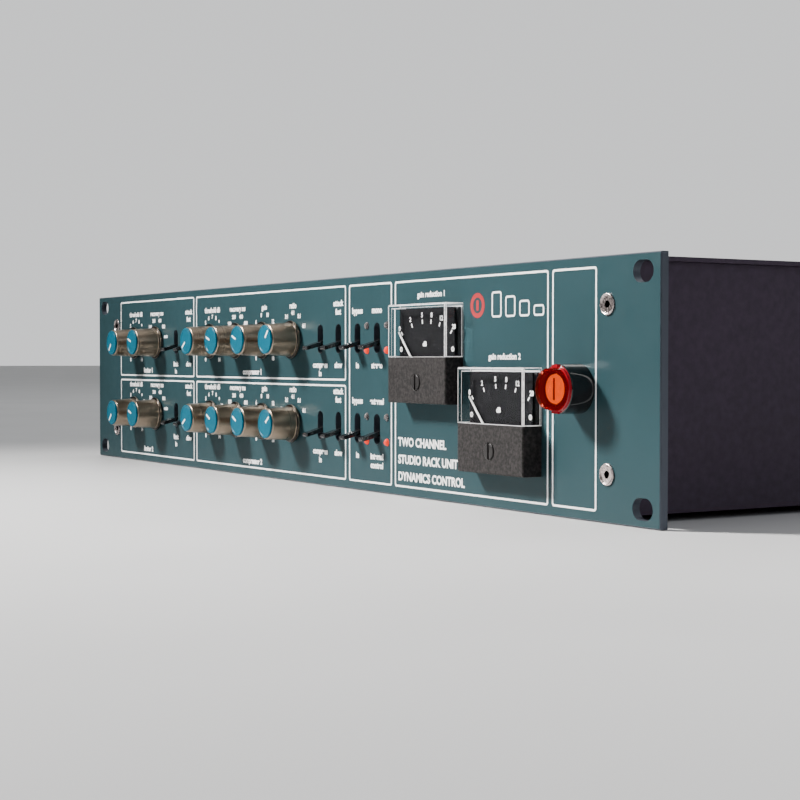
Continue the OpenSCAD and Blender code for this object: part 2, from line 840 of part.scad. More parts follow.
// Socket for a balanced plug: outputs have three pins, inputs three contact holes
module xlr_socket(kind) {
  deep = 12;
  ring = 4.6;
  difference() {
    union() {
      plate(26, 31, 2, eps, socket_flange);
      rod(11.8, -20, 1);
    }
    difference() {
      rod(9.4, -deep, 3);
      if (kind == "input") rod(7.4, -deep - 1, 1.6);
    }
    if (kind == "input")
      for (a = [30, 150, 270]) rotate([0, 0, a]) translate([ring, 0, 0]) rod(1.3, -11, 3);
    for (e = socket_screws()) translate([e[0], e[1], 0]) rod(screw_hole_r, -5, 5);
  }
  if (kind == "output")
    for (a = [30, 150, 270]) rotate([0, 0, a]) translate([ring, 0, 0]) rod(1.2, -deep - 1, -1);
  for (a = [30, 150, 270]) rotate([0, 0, a]) translate([ring, 0, 0]) rod(0.8, -24, -19);
}

module xlr_sockets() {
  color([0.1, 0.1, 0.11])
    for (s = SOCKETS)
      on_rear(s[0], 0) xlr_socket(s[1]);
}

// ---- nodes ----

front_panel();
chassis();
top_cover();
rear_panel();
panel_screws();
case_screws();
rotary_controls();
toggle_bodies();
indicator_lamps();
power_switch_body();
meter_windows();
meter_covers();
meter_dials();
meter_movements();
circuit_boards();
audio_transformers();
mains_transformer();
mains_inlet();
xlr_sockets();
needle(0);  // needle_1
needle(1);  // needle_2
zero_adjuster(0);  // zero_adjuster_1
zero_adjuster(1);  // zero_adjuster_2
power_button();
for (c = CONTROLS) {
  knob(c);
  cap(c);
}
for (t = TOGGLES)
  lever(t);
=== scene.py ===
import json
import math

import bmesh
import bpy
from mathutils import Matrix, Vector


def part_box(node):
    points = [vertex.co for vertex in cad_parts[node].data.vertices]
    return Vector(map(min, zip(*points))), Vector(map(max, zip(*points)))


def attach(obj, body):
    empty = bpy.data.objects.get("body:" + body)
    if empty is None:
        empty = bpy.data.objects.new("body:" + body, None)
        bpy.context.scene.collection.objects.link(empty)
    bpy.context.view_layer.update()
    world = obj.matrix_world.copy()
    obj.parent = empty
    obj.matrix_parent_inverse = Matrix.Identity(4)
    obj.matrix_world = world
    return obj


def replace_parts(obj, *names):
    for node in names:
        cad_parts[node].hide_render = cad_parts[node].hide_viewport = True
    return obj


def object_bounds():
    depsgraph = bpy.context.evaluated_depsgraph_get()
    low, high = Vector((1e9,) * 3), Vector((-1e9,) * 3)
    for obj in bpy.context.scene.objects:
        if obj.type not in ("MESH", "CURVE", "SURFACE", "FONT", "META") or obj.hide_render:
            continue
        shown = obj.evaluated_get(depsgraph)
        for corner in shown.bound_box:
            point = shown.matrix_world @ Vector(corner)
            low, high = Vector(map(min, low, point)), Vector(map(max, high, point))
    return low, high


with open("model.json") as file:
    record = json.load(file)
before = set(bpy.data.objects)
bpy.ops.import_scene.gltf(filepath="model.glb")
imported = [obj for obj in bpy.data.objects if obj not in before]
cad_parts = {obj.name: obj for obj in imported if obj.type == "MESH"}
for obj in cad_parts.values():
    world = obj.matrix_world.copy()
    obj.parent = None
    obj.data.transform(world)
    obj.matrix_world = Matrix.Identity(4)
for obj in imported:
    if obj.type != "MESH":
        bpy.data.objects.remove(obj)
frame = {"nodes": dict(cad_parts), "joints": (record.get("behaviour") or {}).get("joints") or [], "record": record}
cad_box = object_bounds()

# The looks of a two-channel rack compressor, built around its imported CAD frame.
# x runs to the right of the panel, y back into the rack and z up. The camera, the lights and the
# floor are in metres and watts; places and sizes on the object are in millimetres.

MM = 0.001
CASE = "case"
NODES = frame["nodes"]
JOINTS = {joint["name"]: joint for joint in frame["joints"]}
MOUNTS = frame["record"]["mounts"]
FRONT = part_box("front_panel")[0].y
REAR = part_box("rear_panel")[1].y
CHANNELS = ("1", "2")

# ---------------------------------------------------------------- camera and light

CAMERA_PLACE = (0.6465, FRONT - 0.3426, 0.0102)
CAMERA_YAW = 31.32
CAMERA_PITCH = -1.43
LENS_LENGTH = 75
SENSOR_WIDTH = 36
NEAR_CLIP = 0.02

WHITE_LIGHT = (1, 1, 1)
WARM_LIGHT = (1, 0.97, 0.94)
COOL_LIGHT = (0.90, 0.92, 1)
WIDE_SPREAD = 180
# name, place, target, width and height, watts, colour, spread in degrees
LIGHTS = (
    ("key", (-0.40, -0.60, 0.60), (0.26, 0, 0), (0.16, 0.16), 6.7, WARM_LIGHT, 72),
    ("side_fill", (1.9, -0.1, 0.9), (0.1, 0.1, 0), (1.2, 1.2), 8, COOL_LIGHT, WIDE_SPREAD),
    ("front_fill", (0.5, -1.9, 0.9), (0, 0, 0), (1.2, 1.2), 1.5, WHITE_LIGHT, WIDE_SPREAD),
    ("top_fill", (0.2, 0.6, 1.9), (0, 0.15, 0), (1.6, 1.6), 6, WHITE_LIGHT, WIDE_SPREAD),
    ("back_fill", (-0.5, 1.9, 1.0), (0, 0.1, 0), (1.4, 1.0), 14, WHITE_LIGHT, WIDE_SPREAD),
)
SKY_COLOUR = (0.98, 0.99, 1, 1)
SKY_PALE_WAY = (-0.35, 0.937, 0)
# how far a direction agrees with SKY_PALE_WAY where the sky starts and ends to brighten
SKY_START, SKY_END = 0.15, 0.62
SKY_DIM, SKY_BRIGHT = 0.07, 0.95


def link_object(name, data):
    """A new object in the scene."""
    made = bpy.data.objects.new(name, data)
    bpy.context.scene.collection.objects.link(made)
    return made


def add_camera():
    """A long lens close to the right-hand end of the panel, looking along it."""
    yaw = math.radians(CAMERA_YAW)
    pitch = math.radians(CAMERA_PITCH)
    level = math.cos(pitch)
    aim = Vector((-math.cos(yaw) * level, math.sin(yaw) * level, math.sin(pitch)))
    data = bpy.data.cameras.new("camera")
    data.lens = LENS_LENGTH
    data.sensor_width = SENSOR_WIDTH
    data.clip_start = NEAR_CLIP
    camera = link_object("camera", data)
    camera.location = CAMERA_PLACE
    camera.rotation_euler = aim.to_track_quat("-Z", "Y").to_euler()
    bpy.context.scene.camera = camera


def add_area_light(name, place, target, size, watts, colour, spread):
    """A rectangular lamp that shines towards its target."""
    data = bpy.data.lights.new(name, "AREA")
    data.spread = math.radians(spread)
    data.shape = "RECTANGLE"
    data.size, data.size_y = size
    data.energy = watts
    data.color = colour
    lamp = link_object(name, data)
    lamp.location = place
    lamp.rotation_euler = (Vector(target) - Vector(place)).to_track_quat("-Z", "Y").to_euler()


def add_sky():
    """A dim sky that turns pale in front of the camera."""
    world = bpy.data.worlds.new("studio")
    world.use_nodes = True
    tree = world.node_tree
    place = tree.nodes.new("ShaderNodeTexCoord")
    agreement = tree.nodes.new("ShaderNodeVectorMath")
    agreement.operation = "DOT_PRODUCT"
    agreement.inputs[1].default_value = SKY_PALE_WAY
    share = tree.nodes.new("ShaderNodeMapRange")
    share.interpolation_type = "SMOOTHSTEP"
    share.inputs["From Min"].default_value = SKY_START
    share.inputs["From Max"].default_value = SKY_END
    share.inputs["To Min"].default_value = SKY_DIM
    share.inputs["To Max"].default_value = SKY_BRIGHT
    background = tree.nodes["Background"]
    background.inputs["Color"].default_value = SKY_COLOUR
    tree.links.new(place.outputs["Generated"], agreement.inputs[0])
    tree.links.new(agreement.outputs["Value"], share.inputs["Value"])
    tree.links.new(share.outputs["Result"], background.inputs["Strength"])
    bpy.context.scene.world = world


def add_lights():
    """A key from the front left above, and soft fills."""
    for light in LIGHTS:
        add_area_light(*light)
    add_sky()


# ---------------------------------------------------------------- materials

# a panel screw is painted in shade below this height over the panel's face, which is inside its socket
SOCKET_RIM = 0.05
# how far in front of the panel's face the collar of the power switch begins, where its painted red lamp glow
# starts
COLLAR_FOOT = 9.25
# the height of the knobs' foot flange, whose front face below it is darkened as painted shade
KNOB_FLANGE_TOP = 2.6
# a surface whose normal has a smaller y than this is a cut edge of the panel
FACE_LIMIT = 0.95
ROUNDING_SAMPLES = 4


class Finish:
    """A node material under construction, with its Principled shader in .shader."""

    def __init__(self, name, colour, rough, metal=0.0):
        self.material = bpy.data.materials.new(name)
        self.material.use_nodes = True
        self.tree = self.material.node_tree
        self.shader = self.tree.nodes["Principled BSDF"]
        self.colour = colour
        self.set("Base Color", (*colour, 1))
        self.set("Roughness", rough)
        self.set("Metallic", metal)
        self.coordinates = self.node("TexCoord")
        self.place = self.coordinates.outputs["Object"]

    def set(self, socket, value):
        self.shader.inputs[socket].default_value = value

    def link(self, source, target):
        self.tree.links.new(source, target)

    def node(self, kind, **inputs):
        made = self.tree.nodes.new("ShaderNode" + kind)
        for key, value in inputs.items():
            made.inputs[key].default_value = value
        return made

    def math(self, operation, *values):
        """A Math node on sockets or numbers; returns its output socket."""
        made = self.node("Math")
        made.operation = operation
        for socket, value in zip(made.inputs, values):
            if isinstance(value, (int, float)):
                socket.default_value = value
            else:
                self.link(value, socket)
        return made.outputs[0]

    def noise(self, scale, detail, stretch=None):
        """Fractal noise from 0 to 1, of scale cells to the metre times the stretch of each axis."""
        made = self.node("TexNoise", Scale=scale, Detail=detail)
        place = self.place
        if stretch:
            mapping = self.node("Mapping", Scale=stretch)
            self.link(place, mapping.inputs["Vector"])
            place = mapping.outputs["Vector"]
        self.link(place, made.inputs["Vector"])
        return made.outputs["Fac"]

    def cells(self, scale):
        """The distance to the nearest of scattered points, scale of them to the metre."""
        made = self.node("TexVoronoi", Scale=scale)
        self.link(self.place, made.inputs["Vector"])
        return made.outputs["Distance"]

    def span(self, value, low, high, start=0.3, end=0.7):
        """A value that goes from low to high as the given one goes from start to end."""
        made = self.node("MapRange")
        for key, number in zip(("From Min", "From Max", "To Min", "To Max"), (start, end, low, high)):
            made.inputs[key].default_value = number
        self.link(value, made.inputs["Value"])
        return made.outputs["Result"]

    def component(self, source, letter):
        """One component of the surface's place (Object) or of its facing (Normal)."""
        split = self.node("SeparateXYZ")
        self.link(self.coordinates.outputs[source], split.inputs["Vector"])
        return split.outputs[letter]

    def colour_by(self, share, first, second):
        """Mixes two colours or sockets into the base colour; returns the mixed socket."""
        made = self.node("Mix")
        made.data_type = "RGBA"
        self.link(share, made.inputs["Factor"])
        for socket, value in ((made.inputs[6], first), (made.inputs[7], second)):
            if isinstance(value, tuple):
                socket.default_value = (*value, 1)
            else:
                self.link(value, socket)
        self.link(made.outputs[2], self.shader.inputs["Base Color"])
        return made.outputs[2]

    def mottle(self, noise, depth):
        """Lightens and darkens the colour by depth as the noise changes."""
        darker = tuple(c * (1 - depth) for c in self.colour)
        lighter = tuple(min(1, c * (1 + depth)) for c in self.colour)
        return self.colour_by(self.span(noise, 0, 1), darker, lighter)

    def vary_rough(self, noise, low, high):
        self.link(self.span(noise, low, high), self.shader.inputs["Roughness"])

    def relief(self, height, depth_mm, strength, round_mm=0.0):
        """Bump from a height of 0 to 1, over edges rounded by round_mm."""
        bump = self.node("Bump", Strength=strength, Distance=depth_mm * MM)
        self.link(height, bump.inputs["Height"])
        if round_mm:
            bevel = self.node("Bevel", Radius=round_mm * MM)
            bevel.samples = ROUNDING_SAMPLES
            self.link(bevel.outputs["Normal"], bump.inputs["Normal"])
        self.link(bump.outputs["Normal"], self.shader.inputs["Normal"])


def panel_paint():
    """Satin blue-green paint on the faces; cut edges and hole walls are bare metal, kept dark as painted shade
    inside the holes.
    """
    f = Finish("panel_paint", (0.0165, 0.0425, 0.0495), 0.34)
    paint = f.mottle(f.noise(22, 5), 0.06)
    bare_and_shaded_walls = f.math("LESS_THAN", f.math("ABSOLUTE", f.component("Normal", "Y")), FACE_LIMIT)
    # cut edges and hole walls: bare metal, its colour darkened as painted shade inside the holes
    f.colour_by(bare_and_shaded_walls, paint, (0.075, 0.085, 0.105))
    f.link(f.math("MULTIPLY", bare_and_shaded_walls, 0.5), f.shader.inputs["Metallic"])
    f.vary_rough(f.noise(240, 4), 0.31, 0.39)
    f.relief(f.noise(1500, 2), 0.010, 0.4)
    f.set("Specular IOR Level", 0.12)
    return f.material


def case_paint():
    """Dark purple-grey textured powder coat."""
    f = Finish("case_paint", (0.034, 0.0215, 0.0395), 0.55)
    f.mottle(f.noise(420, 4), 0.16)
    f.vary_rough(f.noise(300, 4), 0.52, 0.62)
    f.relief(f.noise(1600, 3), 0.04, 0.6, 0.3)
    f.set("Specular IOR Level", 0.3)
    return f.material


def turned_metal():
    """Satin warm-grey aluminium, finely turned, with painted shade darkening the front face of the foot flange."""
    f = Finish("turned_metal", (0.27, 0.215, 0.16), 0.30, 1.0)
    metal = f.mottle(f.noise(1.0, 2, (8, 3200, 8)), 0.04)
    # painted shade: the flange's front face near the panel is darkened
    faces_front = f.math("LESS_THAN", f.component("Normal", "Y"), -0.5)
    near_panel = f.math("GREATER_THAN", f.component("Object", "Y"), FRONT - KNOB_FLANGE_TOP * MM)
    f.colour_by(f.math("MULTIPLY", faces_front, near_panel), metal, (0.035, 0.030, 0.026))
    f.vary_rough(f.noise(1.0, 3, (8, 2600, 8)), 0.27, 0.33)
    f.relief(f.noise(1.0, 2, (6, 6000, 6)), 0.0008, 0.3, 0.12)
    return f.material


def cap_plastic():
    """Cyan-blue moulded plastic with a soft sheen and faint flow marks."""
    f = Finish("cap_plastic", (0.0, 0.086, 0.136), 0.34)
    f.mottle(f.noise(500, 4), 0.08)
    f.vary_rough(f.noise(900, 3), 0.28, 0.42)
    f.relief(f.noise(2500, 2), 0.006, 0.5, 0.12)
    f.set("Specular IOR Level", 0.18)
    return f.material


def lever_gloss():
    """Polished black plastic of the toggle levers."""
    f = Finish("lever_gloss", (0.012, 0.012, 0.013), 0.16)
    f.mottle(f.noise(600, 3), 0.25)
    f.vary_rough(f.noise(700, 4), 0.112, 0.24)
    f.relief(f.noise(1800, 2), 0.004, 0.5, 0.15)
    return f.material


def black_matte(name, colour=(0.016, 0.016, 0.017), rough=0.5, gloss=0.5):
    """Dull black moulding."""
    f = Finish(name, colour, rough)
    f.mottle(f.noise(400, 4), 0.2)
    f.vary_rough(f.noise(500, 4), rough * 0.85, rough * 1.15)
    f.relief(f.noise(2200, 3), 0.012, 0.6, 0.15)
    f.set("Specular IOR Level", gloss)
    return f.material


def switch_body():
    """Polished black barrel whose front collar is painted red with a faint glow, standing in for the lamp's red
    light on it.
    """
    f = Finish("switch_body", (0.010, 0.010, 0.011), 0.10)
    black = f.mottle(f.noise(600, 3), 0.25)
    # the collar's red colour and faint emission are painted glow from the lamp, not a lamp itself
    collar_lamp_glow = f.math("LESS_THAN", f.component("Object", "Y"), FRONT - COLLAR_FOOT * MM)
    f.colour_by(collar_lamp_glow, black, (0.22, 0.002, 0.008))
    f.vary_rough(f.noise(700, 4), 0.07, 0.15)
    f.relief(f.noise(1800, 2), 0.004, 0.5, 0.15)
    f.set("Emission Color", (0.8, 0.003, 0.01, 1))
    f.link(f.math("MULTIPLY", collar_lamp_glow, 0.05), f.shader.inputs["Emission Strength"])
    return f.material


def cover_plastic():
    """Dark grey grained moulding of the meters' lower covers, with lighter specks."""
    f = Finish("cover_plastic", (0.0095, 0.0081, 0.0081), 0.55)
    grain = f.noise(1100, 5)
    ground = tuple(c * 0.45 for c in f.colour)
    speck = tuple(c * 2.3 for c in f.colour)
    f.colour_by(f.span(f.noise(800, 8), 0, 1, 0.42, 0.66), ground, speck)
    f.vary_rough(grain, 0.45, 0.66)
    f.relief(grain, 0.07, 0.9, 0.2)
    f.set("Specular IOR Level", 0.22)
    return f.material


def dial_face():
    """Matt black of the meter dials."""
    f = Finish("dial_face", (0.0045, 0.0045, 0.0055), 0.5)
    f.mottle(f.noise(160, 3), 0.08)
    f.vary_rough(f.noise(800, 3), 0.45, 0.55)
    f.relief(f.noise(900, 2), 0.002, 0.2)
    f.set("Specular IOR Level", 0.06)
    return f.material


def print_ink(name, colour, rough=0.45):
    """Screen-printed ink, a little patchy."""
    f = Finish(name, colour, rough)
    f.mottle(f.noise(900, 4), 0.05)
    f.vary_rough(f.noise(700, 3), rough * 0.85, rough * 1.15)
    f.relief(f.noise(2600, 2), 0.006, 0.4)
    return f.material


def steel(name, colour, rough, round_mm=0.12):
    """Metal with small scratches and a touch of dirt."""
    f = Finish(name, colour, rough, 1.0)
    f.mottle(f.noise(700, 4), 0.12)
    f.vary_rough(f.noise(1200, 5), rough * 0.7, rough * 1.4)
    f.relief(f.noise(1.0, 3, (3000, 400, 3000)), 0.006, 0.5, round_mm)
    return f.material


def socket_screw():
    """Bright screw and cup washer whose hexagonal socket is painted dark as shade inside."""
    f = Finish("socket_screw", (0.43, 0.37, 0.36), 0.26, 1.0)
    bright = f.mottle(f.noise(700, 4), 0.08)
    socket_shade = f.math("GREATER_THAN", f.component("Object", "Y"), FRONT - SOCKET_RIM * MM)
    # painted shade inside the hexagonal socket
    f.colour_by(socket_shade, bright, (0.012, 0.011, 0.011))
    f.vary_rough(f.noise(1200, 5), 0.18, 0.36)
    f.relief(f.noise(1.0, 3, (3000, 400, 3000)), 0.004, 0.4, 0.12)
    return f.material


def clear_acrylic():
    """Clear polished acrylic that lets the studio's light through to what is behind it."""
    f = Finish("clear_acrylic", (0.97, 0.98, 0.985), 0.015)
    f.set("Transmission Weight", 1.0)
    f.set("IOR", 1.12)
    f.set("Specular IOR Level", 0.2)
    f.vary_rough(f.noise(60, 4), 0.004, 0.012)
    f.relief(f.noise(35, 2), 0.01, 0.15)
    path = f.node("LightPath")
    clear = f.node("BsdfTransparent")
    both = f.node("MixShader")
    f.link(path.outputs["Is Shadow Ray"], both.inputs["Fac"])
    f.link(f.shader.outputs["BSDF"], both.inputs[1])
    f.link(clear.outputs["BSDF"], both.inputs[2])
    f.link(both.outputs["Shader"], f.tree.nodes["Material Output"].inputs["Surface"])
    return f.material


def lit_plastic(name, colour, glow, strength, rough=0.2, clear=0.0, ior=1.3):
    """Coloured plastic that gives off light where strength isn't 0: lamps behind lenses, and painted glow on the
    acrylic edges and the button's side.
    """
    f = Finish(name, colour, rough)
    f.mottle(f.noise(700, 3), 0.08)
    f.vary_rough(f.noise(900, 3), rough * 0.8, rough * 1.25)
    f.relief(f.noise(1500, 2), 0.004, 0.4)
    f.set("Emission Color", (*glow, 1))
    f.set("Emission Strength", strength)
    f.set("Transmission Weight", clear)
    f.set("IOR", ior)
    f.set("Specular IOR Level", 0.3)
    return f.material


def floor_finish():
    """Pale matt studio floor."""
    f = Finish("floor_finish", (0.56, 0.565, 0.57), 0.6)
    f.mottle(f.noise(3, 4), 0.015)
    f.vary_rough(f.noise(9, 4), 0.45, 0.58)
    f.relief(f.noise(120, 3), 0.05, 0.2)
    return f.material


def board_laminate():
    """Green solder mask with a pattern of copper runs under it."""
    f = Finish("board_laminate", (0.012, 0.085, 0.04), 0.35)
    runs = f.span(f.cells(260), 0, 1, 0.1, 0.5)
    f.colour_by(runs, (0.01, 0.06, 0.03), (0.02, 0.13, 0.06))
    f.vary_rough(f.noise(400, 3), 0.28, 0.42)
    f.relief(runs, 0.03, 0.5)
    return f.material


def taped_winding():
    """Yellow tape over a transformer's winding."""
    f = Finish("taped_winding", (0.34, 0.24, 0.06), 0.4)
    f.mottle(f.noise(120, 4), 0.2)
    f.vary_rough(f.noise(300, 3), 0.3, 0.5)
    f.relief(f.noise(1.0, 2, (500, 500, 60)), 0.15, 0.6)
    return f.material


WHITE_INK = print_ink("white_ink", (0.93, 0.93, 0.92))
RED_INK = print_ink("red_ink", (0.32, 0.0, 0.006))
NEEDLE_WHITE = print_ink("needle_white", (0.88, 0.88, 0.87), 0.4)
PANEL_PAINT = panel_paint()
CASE_PAINT = case_paint()
KNOB_METAL = turned_metal()
CAP_PLASTIC = cap_plastic()
SOCKET_SCREW = socket_screw()
BLACK_SCREW = steel("black_screw", (0.035, 0.035, 0.037), 0.4)
CONTROL_METAL = steel("control_metal", (0.45, 0.45, 0.46), 0.35)
CORE_METAL = steel("core_metal", (0.36, 0.36, 0.38), 0.42)
CONTACT_METAL = steel("contact_metal", (0.80, 0.76, 0.66), 0.2, 0.0)
LEVER_GLOSS = lever_gloss()
SWITCH_BODY = switch_body()
SWITCH_BLACK = black_matte("switch_black")
# near-black toggle bodies: painted shade inside the toggle slots
SLOT_SHADE_BLACK = black_matte("slot_shade_black", (0.002, 0.002, 0.002), 0.7, 0.04)
MOVEMENT_BLACK = black_matte("movement_black", (0.02, 0.02, 0.022), 0.6)
ADJUSTER_BLACK = black_matte("adjuster_black", (0.009, 0.008, 0.008), 0.42, 0.3)
INLET_BLACK = black_matte("inlet_black", (0.014, 0.014, 0.015), 0.48)
SOCKET_BLACK = black_matte("socket_black", (0.022, 0.022, 0.024), 0.38)
COVER_PLASTIC = cover_plastic()
DIAL_FACE = dial_face()
BOARD = board_laminate()
WINDING = taped_winding()
ACRYLIC = clear_acrylic()
# white with a faint emission: a painted highlight and glow on the meter windows' edges
ACRYLIC_EDGE_GLOW = lit_plastic("acrylic_edge_glow", (0.92, 0.90, 0.90), (1, 0.95, 0.94), 0.30, 0.3, 0.5)
BUTTON_LENS = lit_plastic("button_lens", (0.80, 0.10, 0.05), (0.9, 0.002, 0.003), 0.03, 0.05, 1.0, 1.04)
# dark red plastic whose faint emission is painted glow of the lamp on the sleeve
BUTTON_SIDE = lit_plastic("button_side", (0.075, 0.0005, 0.002), (0.8, 0.002, 0.006), 0.035, 0.12)
LAMP_ORANGE = lit_plastic("lamp_orange", (0.3, 0.02, 0.0), (1.0, 0.8, 0.0), 1.25, 0.6)
LAMP_DARK = lit_plastic("lamp_dark", (0.05, 0.002, 0.0), (0.8, 0.05, 0.0), 0.12, 0.5)
LED_LIT = lit_plastic("led_lit", (0.5, 0.02, 0.01), (1.0, 0.045, 0.015), 0.8, 0.25)
LED_CLEAR = lit_plastic("led_clear", (0.50, 0.46, 0.46), (0, 0, 0), 0.0, 0.08, 0.8)

NODE_FINISH = {
    "front_panel": PANEL_PAINT,
    "chassis": CASE_PAINT,
    "top_cover": CASE_PAINT,
    "rear_panel": CASE_PAINT,
    "panel_screws": SOCKET_SCREW,
    "case_screws": BLACK_SCREW,
    "rotary_controls": CONTROL_METAL,
    "toggle_bodies": SLOT_SHADE_BLACK,
    "indicator_lamps": LED_CLEAR,
    "power_switch_body": SWITCH_BODY,
    "power_button": BUTTON_SIDE,
    "meter_windows": ACRYLIC,
    "meter_covers": COVER_PLASTIC,
    "meter_dials": DIAL_FACE,
    "meter_movements": MOVEMENT_BLACK,
    "circuit_boards": BOARD,
    "audio_transformers": CORE_METAL,
    "mains_transformer": WINDING,
    "mains_inlet": INLET_BLACK,
    "xlr_sockets": SOCKET_BLACK,
}
PREFIX_FINISH = {
    "knob_": KNOB_METAL,
    "cap_": CAP_PLASTIC,
    "lever_": LEVER_GLOSS,
    "needle_": NEEDLE_WHITE,
    "zero_adjuster_": ADJUSTER_BLACK,
}
WINDOW_EDGE = 0.26
COVER_EDGE = 0.2
EDGE_STEPS = 2
EDGE_LIMIT = 28
WELD_DISTANCE = 1e-6


def finish_of(name):
    """The finish of a CAD node, from how its name begins or from its whole name."""
    for prefix, finish in PREFIX_FINISH.items():
        if name.startswith(prefix):
            return finish
    return NODE_FINISH[name]


def break_edges(node, width, edge_finish=None):
    """Rounds a CAD node's sharp edges by a modifier, in a finish of their own if one is given."""
    weld = node.modifiers.new("weld", "WELD")
    weld.merge_threshold = WELD_DISTANCE
    bevel = node.modifiers.new("broken_edges", "BEVEL")
    bevel.width = width * MM
    bevel.segments = EDGE_STEPS
    bevel.limit_method = "ANGLE"
    bevel.angle_limit = math.radians(EDGE_LIMIT)
    bevel.use_clamp_overlap = True
    if edge_finish:
        node.data.materials.append(edge_finish)
        bevel.material = 1


def paint_frame():
    """Gives every CAD node its finish."""
    for name, node in NODES.items():
        node.data.materials.clear()
        node.data.materials.append(finish_of(name))
    # the windows' bevelled edges take the painted edge highlight and glow
    break_edges(NODES["meter_windows"], WINDOW_EDGE, ACRYLIC_EDGE_GLOW)
    break_edges(NODES["meter_covers"], COVER_EDGE)


# ---------------------------------------------------------------- mesh helpers

SMOOTH_ANGLE = 40
CORNER_STEPS = 4
# in metres
SAME_POINT = 1e-7
TEXT_RESOLUTION = 3
TEXT_EXTRUDE = 0.012


def front_point(x, z, h):
    """A point at height h mm above the panel's front face; x and z in mm."""
    return Vector((x * MM, FRONT - h * MM, z * MM))


def rear_point(x, z, h):
    """A point h mm behind the rear panel; x in mm to the right seen from behind."""
    return Vector((-x * MM, REAR + h * MM, z * MM))


def height_of(name):
    """How many mm a CAD node reaches in front of the panel's face."""
    return (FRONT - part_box(name)[0].y) / MM


def joint_place(name):
    """A joint's x and z in mm."""
    x, _, z = JOINTS[name]["pos_m"]
    return x / MM, z / MM


def make_mesh_object(name, points, faces, material):
    """A mesh object without double points, its faces turned the same way."""
    mesh = bpy.data.meshes.new(name)
    mesh.from_pydata(points, [], faces)
    mesh.validate()
    mesh.update()
    work = bmesh.new()
    work.from_mesh(mesh)
    bmesh.ops.remove_doubles(work, verts=work.verts, dist=SAME_POINT)
    bmesh.ops.recalc_face_normals(work, faces=work.faces)
    work.to_mesh(mesh)
    work.free()
    mesh.materials.append(material)
    return link_object(name, mesh)


def arc_points(cx, cy, radius, start, end, steps):
    """Points along an arc; angles in degrees."""
    angles = [math.radians(start + (end - start) * i / steps) for i in range(steps + 1)]
    return [(cx + radius * math.cos(a), cy + radius * math.sin(a)) for a in angles]


def circle_points(cx, cy, radius, count):
    """The outline of a circle, from its right-hand point."""
    return arc_points(cx, cy, radius, 0, 360 - 360 / count, count - 1)


def round_box(x0, y0, x1, y1, radius):
    """The outline of a rectangle with round corners, anticlockwise from the lower right."""
    corners = ((x1 - radius, y0 + radius, -90), (x1 - radius, y1 - radius, 0),
               (x0 + radius, y1 - radius, 90), (x0 + radius, y0 + radius, 180))
    line = []
    for cx, cy, start in corners:
        line += arc_points(cx, cy, radius, start, start + 90, CORNER_STEPS)
    return line


def bar(x, y, angle, start, end, width):
    """A short line's outline: radial from (x, y), angle clockwise from straight up."""
    a = math.radians(angle)
    along = (math.sin(a), math.cos(a))
    across = (math.cos(a), -math.sin(a))
    half = width / 2
    corners = ((start, half), (start, -half), (end, -half), (end, half))
    return [(x + along[0] * d + across[0] * s, y + along[1] * d + across[1] * s) for d, s in corners]


class Shape:
    """Vertices and faces gathered from many small shapes into one piece."""

    def __init__(self):
        self.points = []
        self.faces = []

    def add(self, points, faces):
        start = len(self.points)
        self.points += [tuple(p) for p in points]
        self.faces += [tuple(start + i for i in face) for face in faces]

    def prism(self, outline, place, h0, h1):
        """An outline (x, y) raised from height h0 to h1; place maps (x, y, h) to the frame."""
        n = len(outline)
        points = [place(x, y, h) for h in (h0, h1) for x, y in outline]
        faces = [tuple(range(n, 2 * n)), tuple(reversed(range(n)))]
        faces += [(i, (i + 1) % n, n + (i + 1) % n, n + i) for i in range(n)]
        self.add(points, faces)

    def ring(self, outer, inner, place, h0, h1):
        """The band between two outlines with the same number of points."""
        n = len(outer)
        rows = ((outer, h0), (outer, h1), (inner, h1), (inner, h0))
        points = [place(x, y, h) for line, h in rows for x, y in line]
        faces = []
        for k in range(len(rows)):
            m = (k + 1) % len(rows)
            for i in range(n):
                j = (i + 1) % n
                faces.append((k * n + i, k * n + j, m * n + j, m * n + i))
        self.add(points, faces)

    def lathe(self, profile, centre, place, steps):
        """Turns a profile of (radius, height) about an axis through centre."""
        points = []
        faces = []
        n = len(profile)
        for k in range(steps):
            a = 2 * math.pi * k / steps
            points += [place(centre[0] + r * math.cos(a), centre[1] + r * math.sin(a), h)
                       for r, h in profile]
            j = (k + 1) % steps
            faces += [(k * n + i, j * n + i, j * n + i + 1, k * n + i + 1) for i in range(n - 1)]
        self.add(points, faces)

    def text(self, words, x, y, size, place, h, bold, align="CENTER"):
        """Plain lettering from the built-in font, lying at height h."""
        curve = bpy.data.curves.new("lettering", "FONT")
        curve.body = words
        curve.size = size
        curve.align_x = align
        curve.align_y = "CENTER"
        curve.offset = bold
        curve.resolution_u = TEXT_RESOLUTION
        curve.extrude = TEXT_EXTRUDE
        holder = link_object("lettering", curve)
        bpy.context.view_layer.update()
        depsgraph = bpy.context.evaluated_depsgraph_get()
        mesh = bpy.data.meshes.new_from_object(holder.evaluated_get(depsgraph))
        points = [place(x + v.co.x, y + v.co.y, h + v.co.z) for v in mesh.vertices]
        self.add(points, [tuple(p.vertices) for p in mesh.polygons])
        bpy.data.objects.remove(holder)
        bpy.data.curves.remove(curve)
        bpy.data.meshes.remove(mesh)

    def build(self, name, material, body, slot, smooth=False):
        """Makes the piece, which moves with the body; the slot argument is not used."""
        piece = make_mesh_object(name, self.points, self.faces, material)
        if smooth:
            piece.data.polygons.foreach_set("use_smooth", [True] * len(piece.data.polygons))
            piece.data.set_sharp_from_angle(angle=math.radians(SMOOTH_ANGLE))
        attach(piece, body)
        return piece


# ---------------------------------------------------------------- front legends

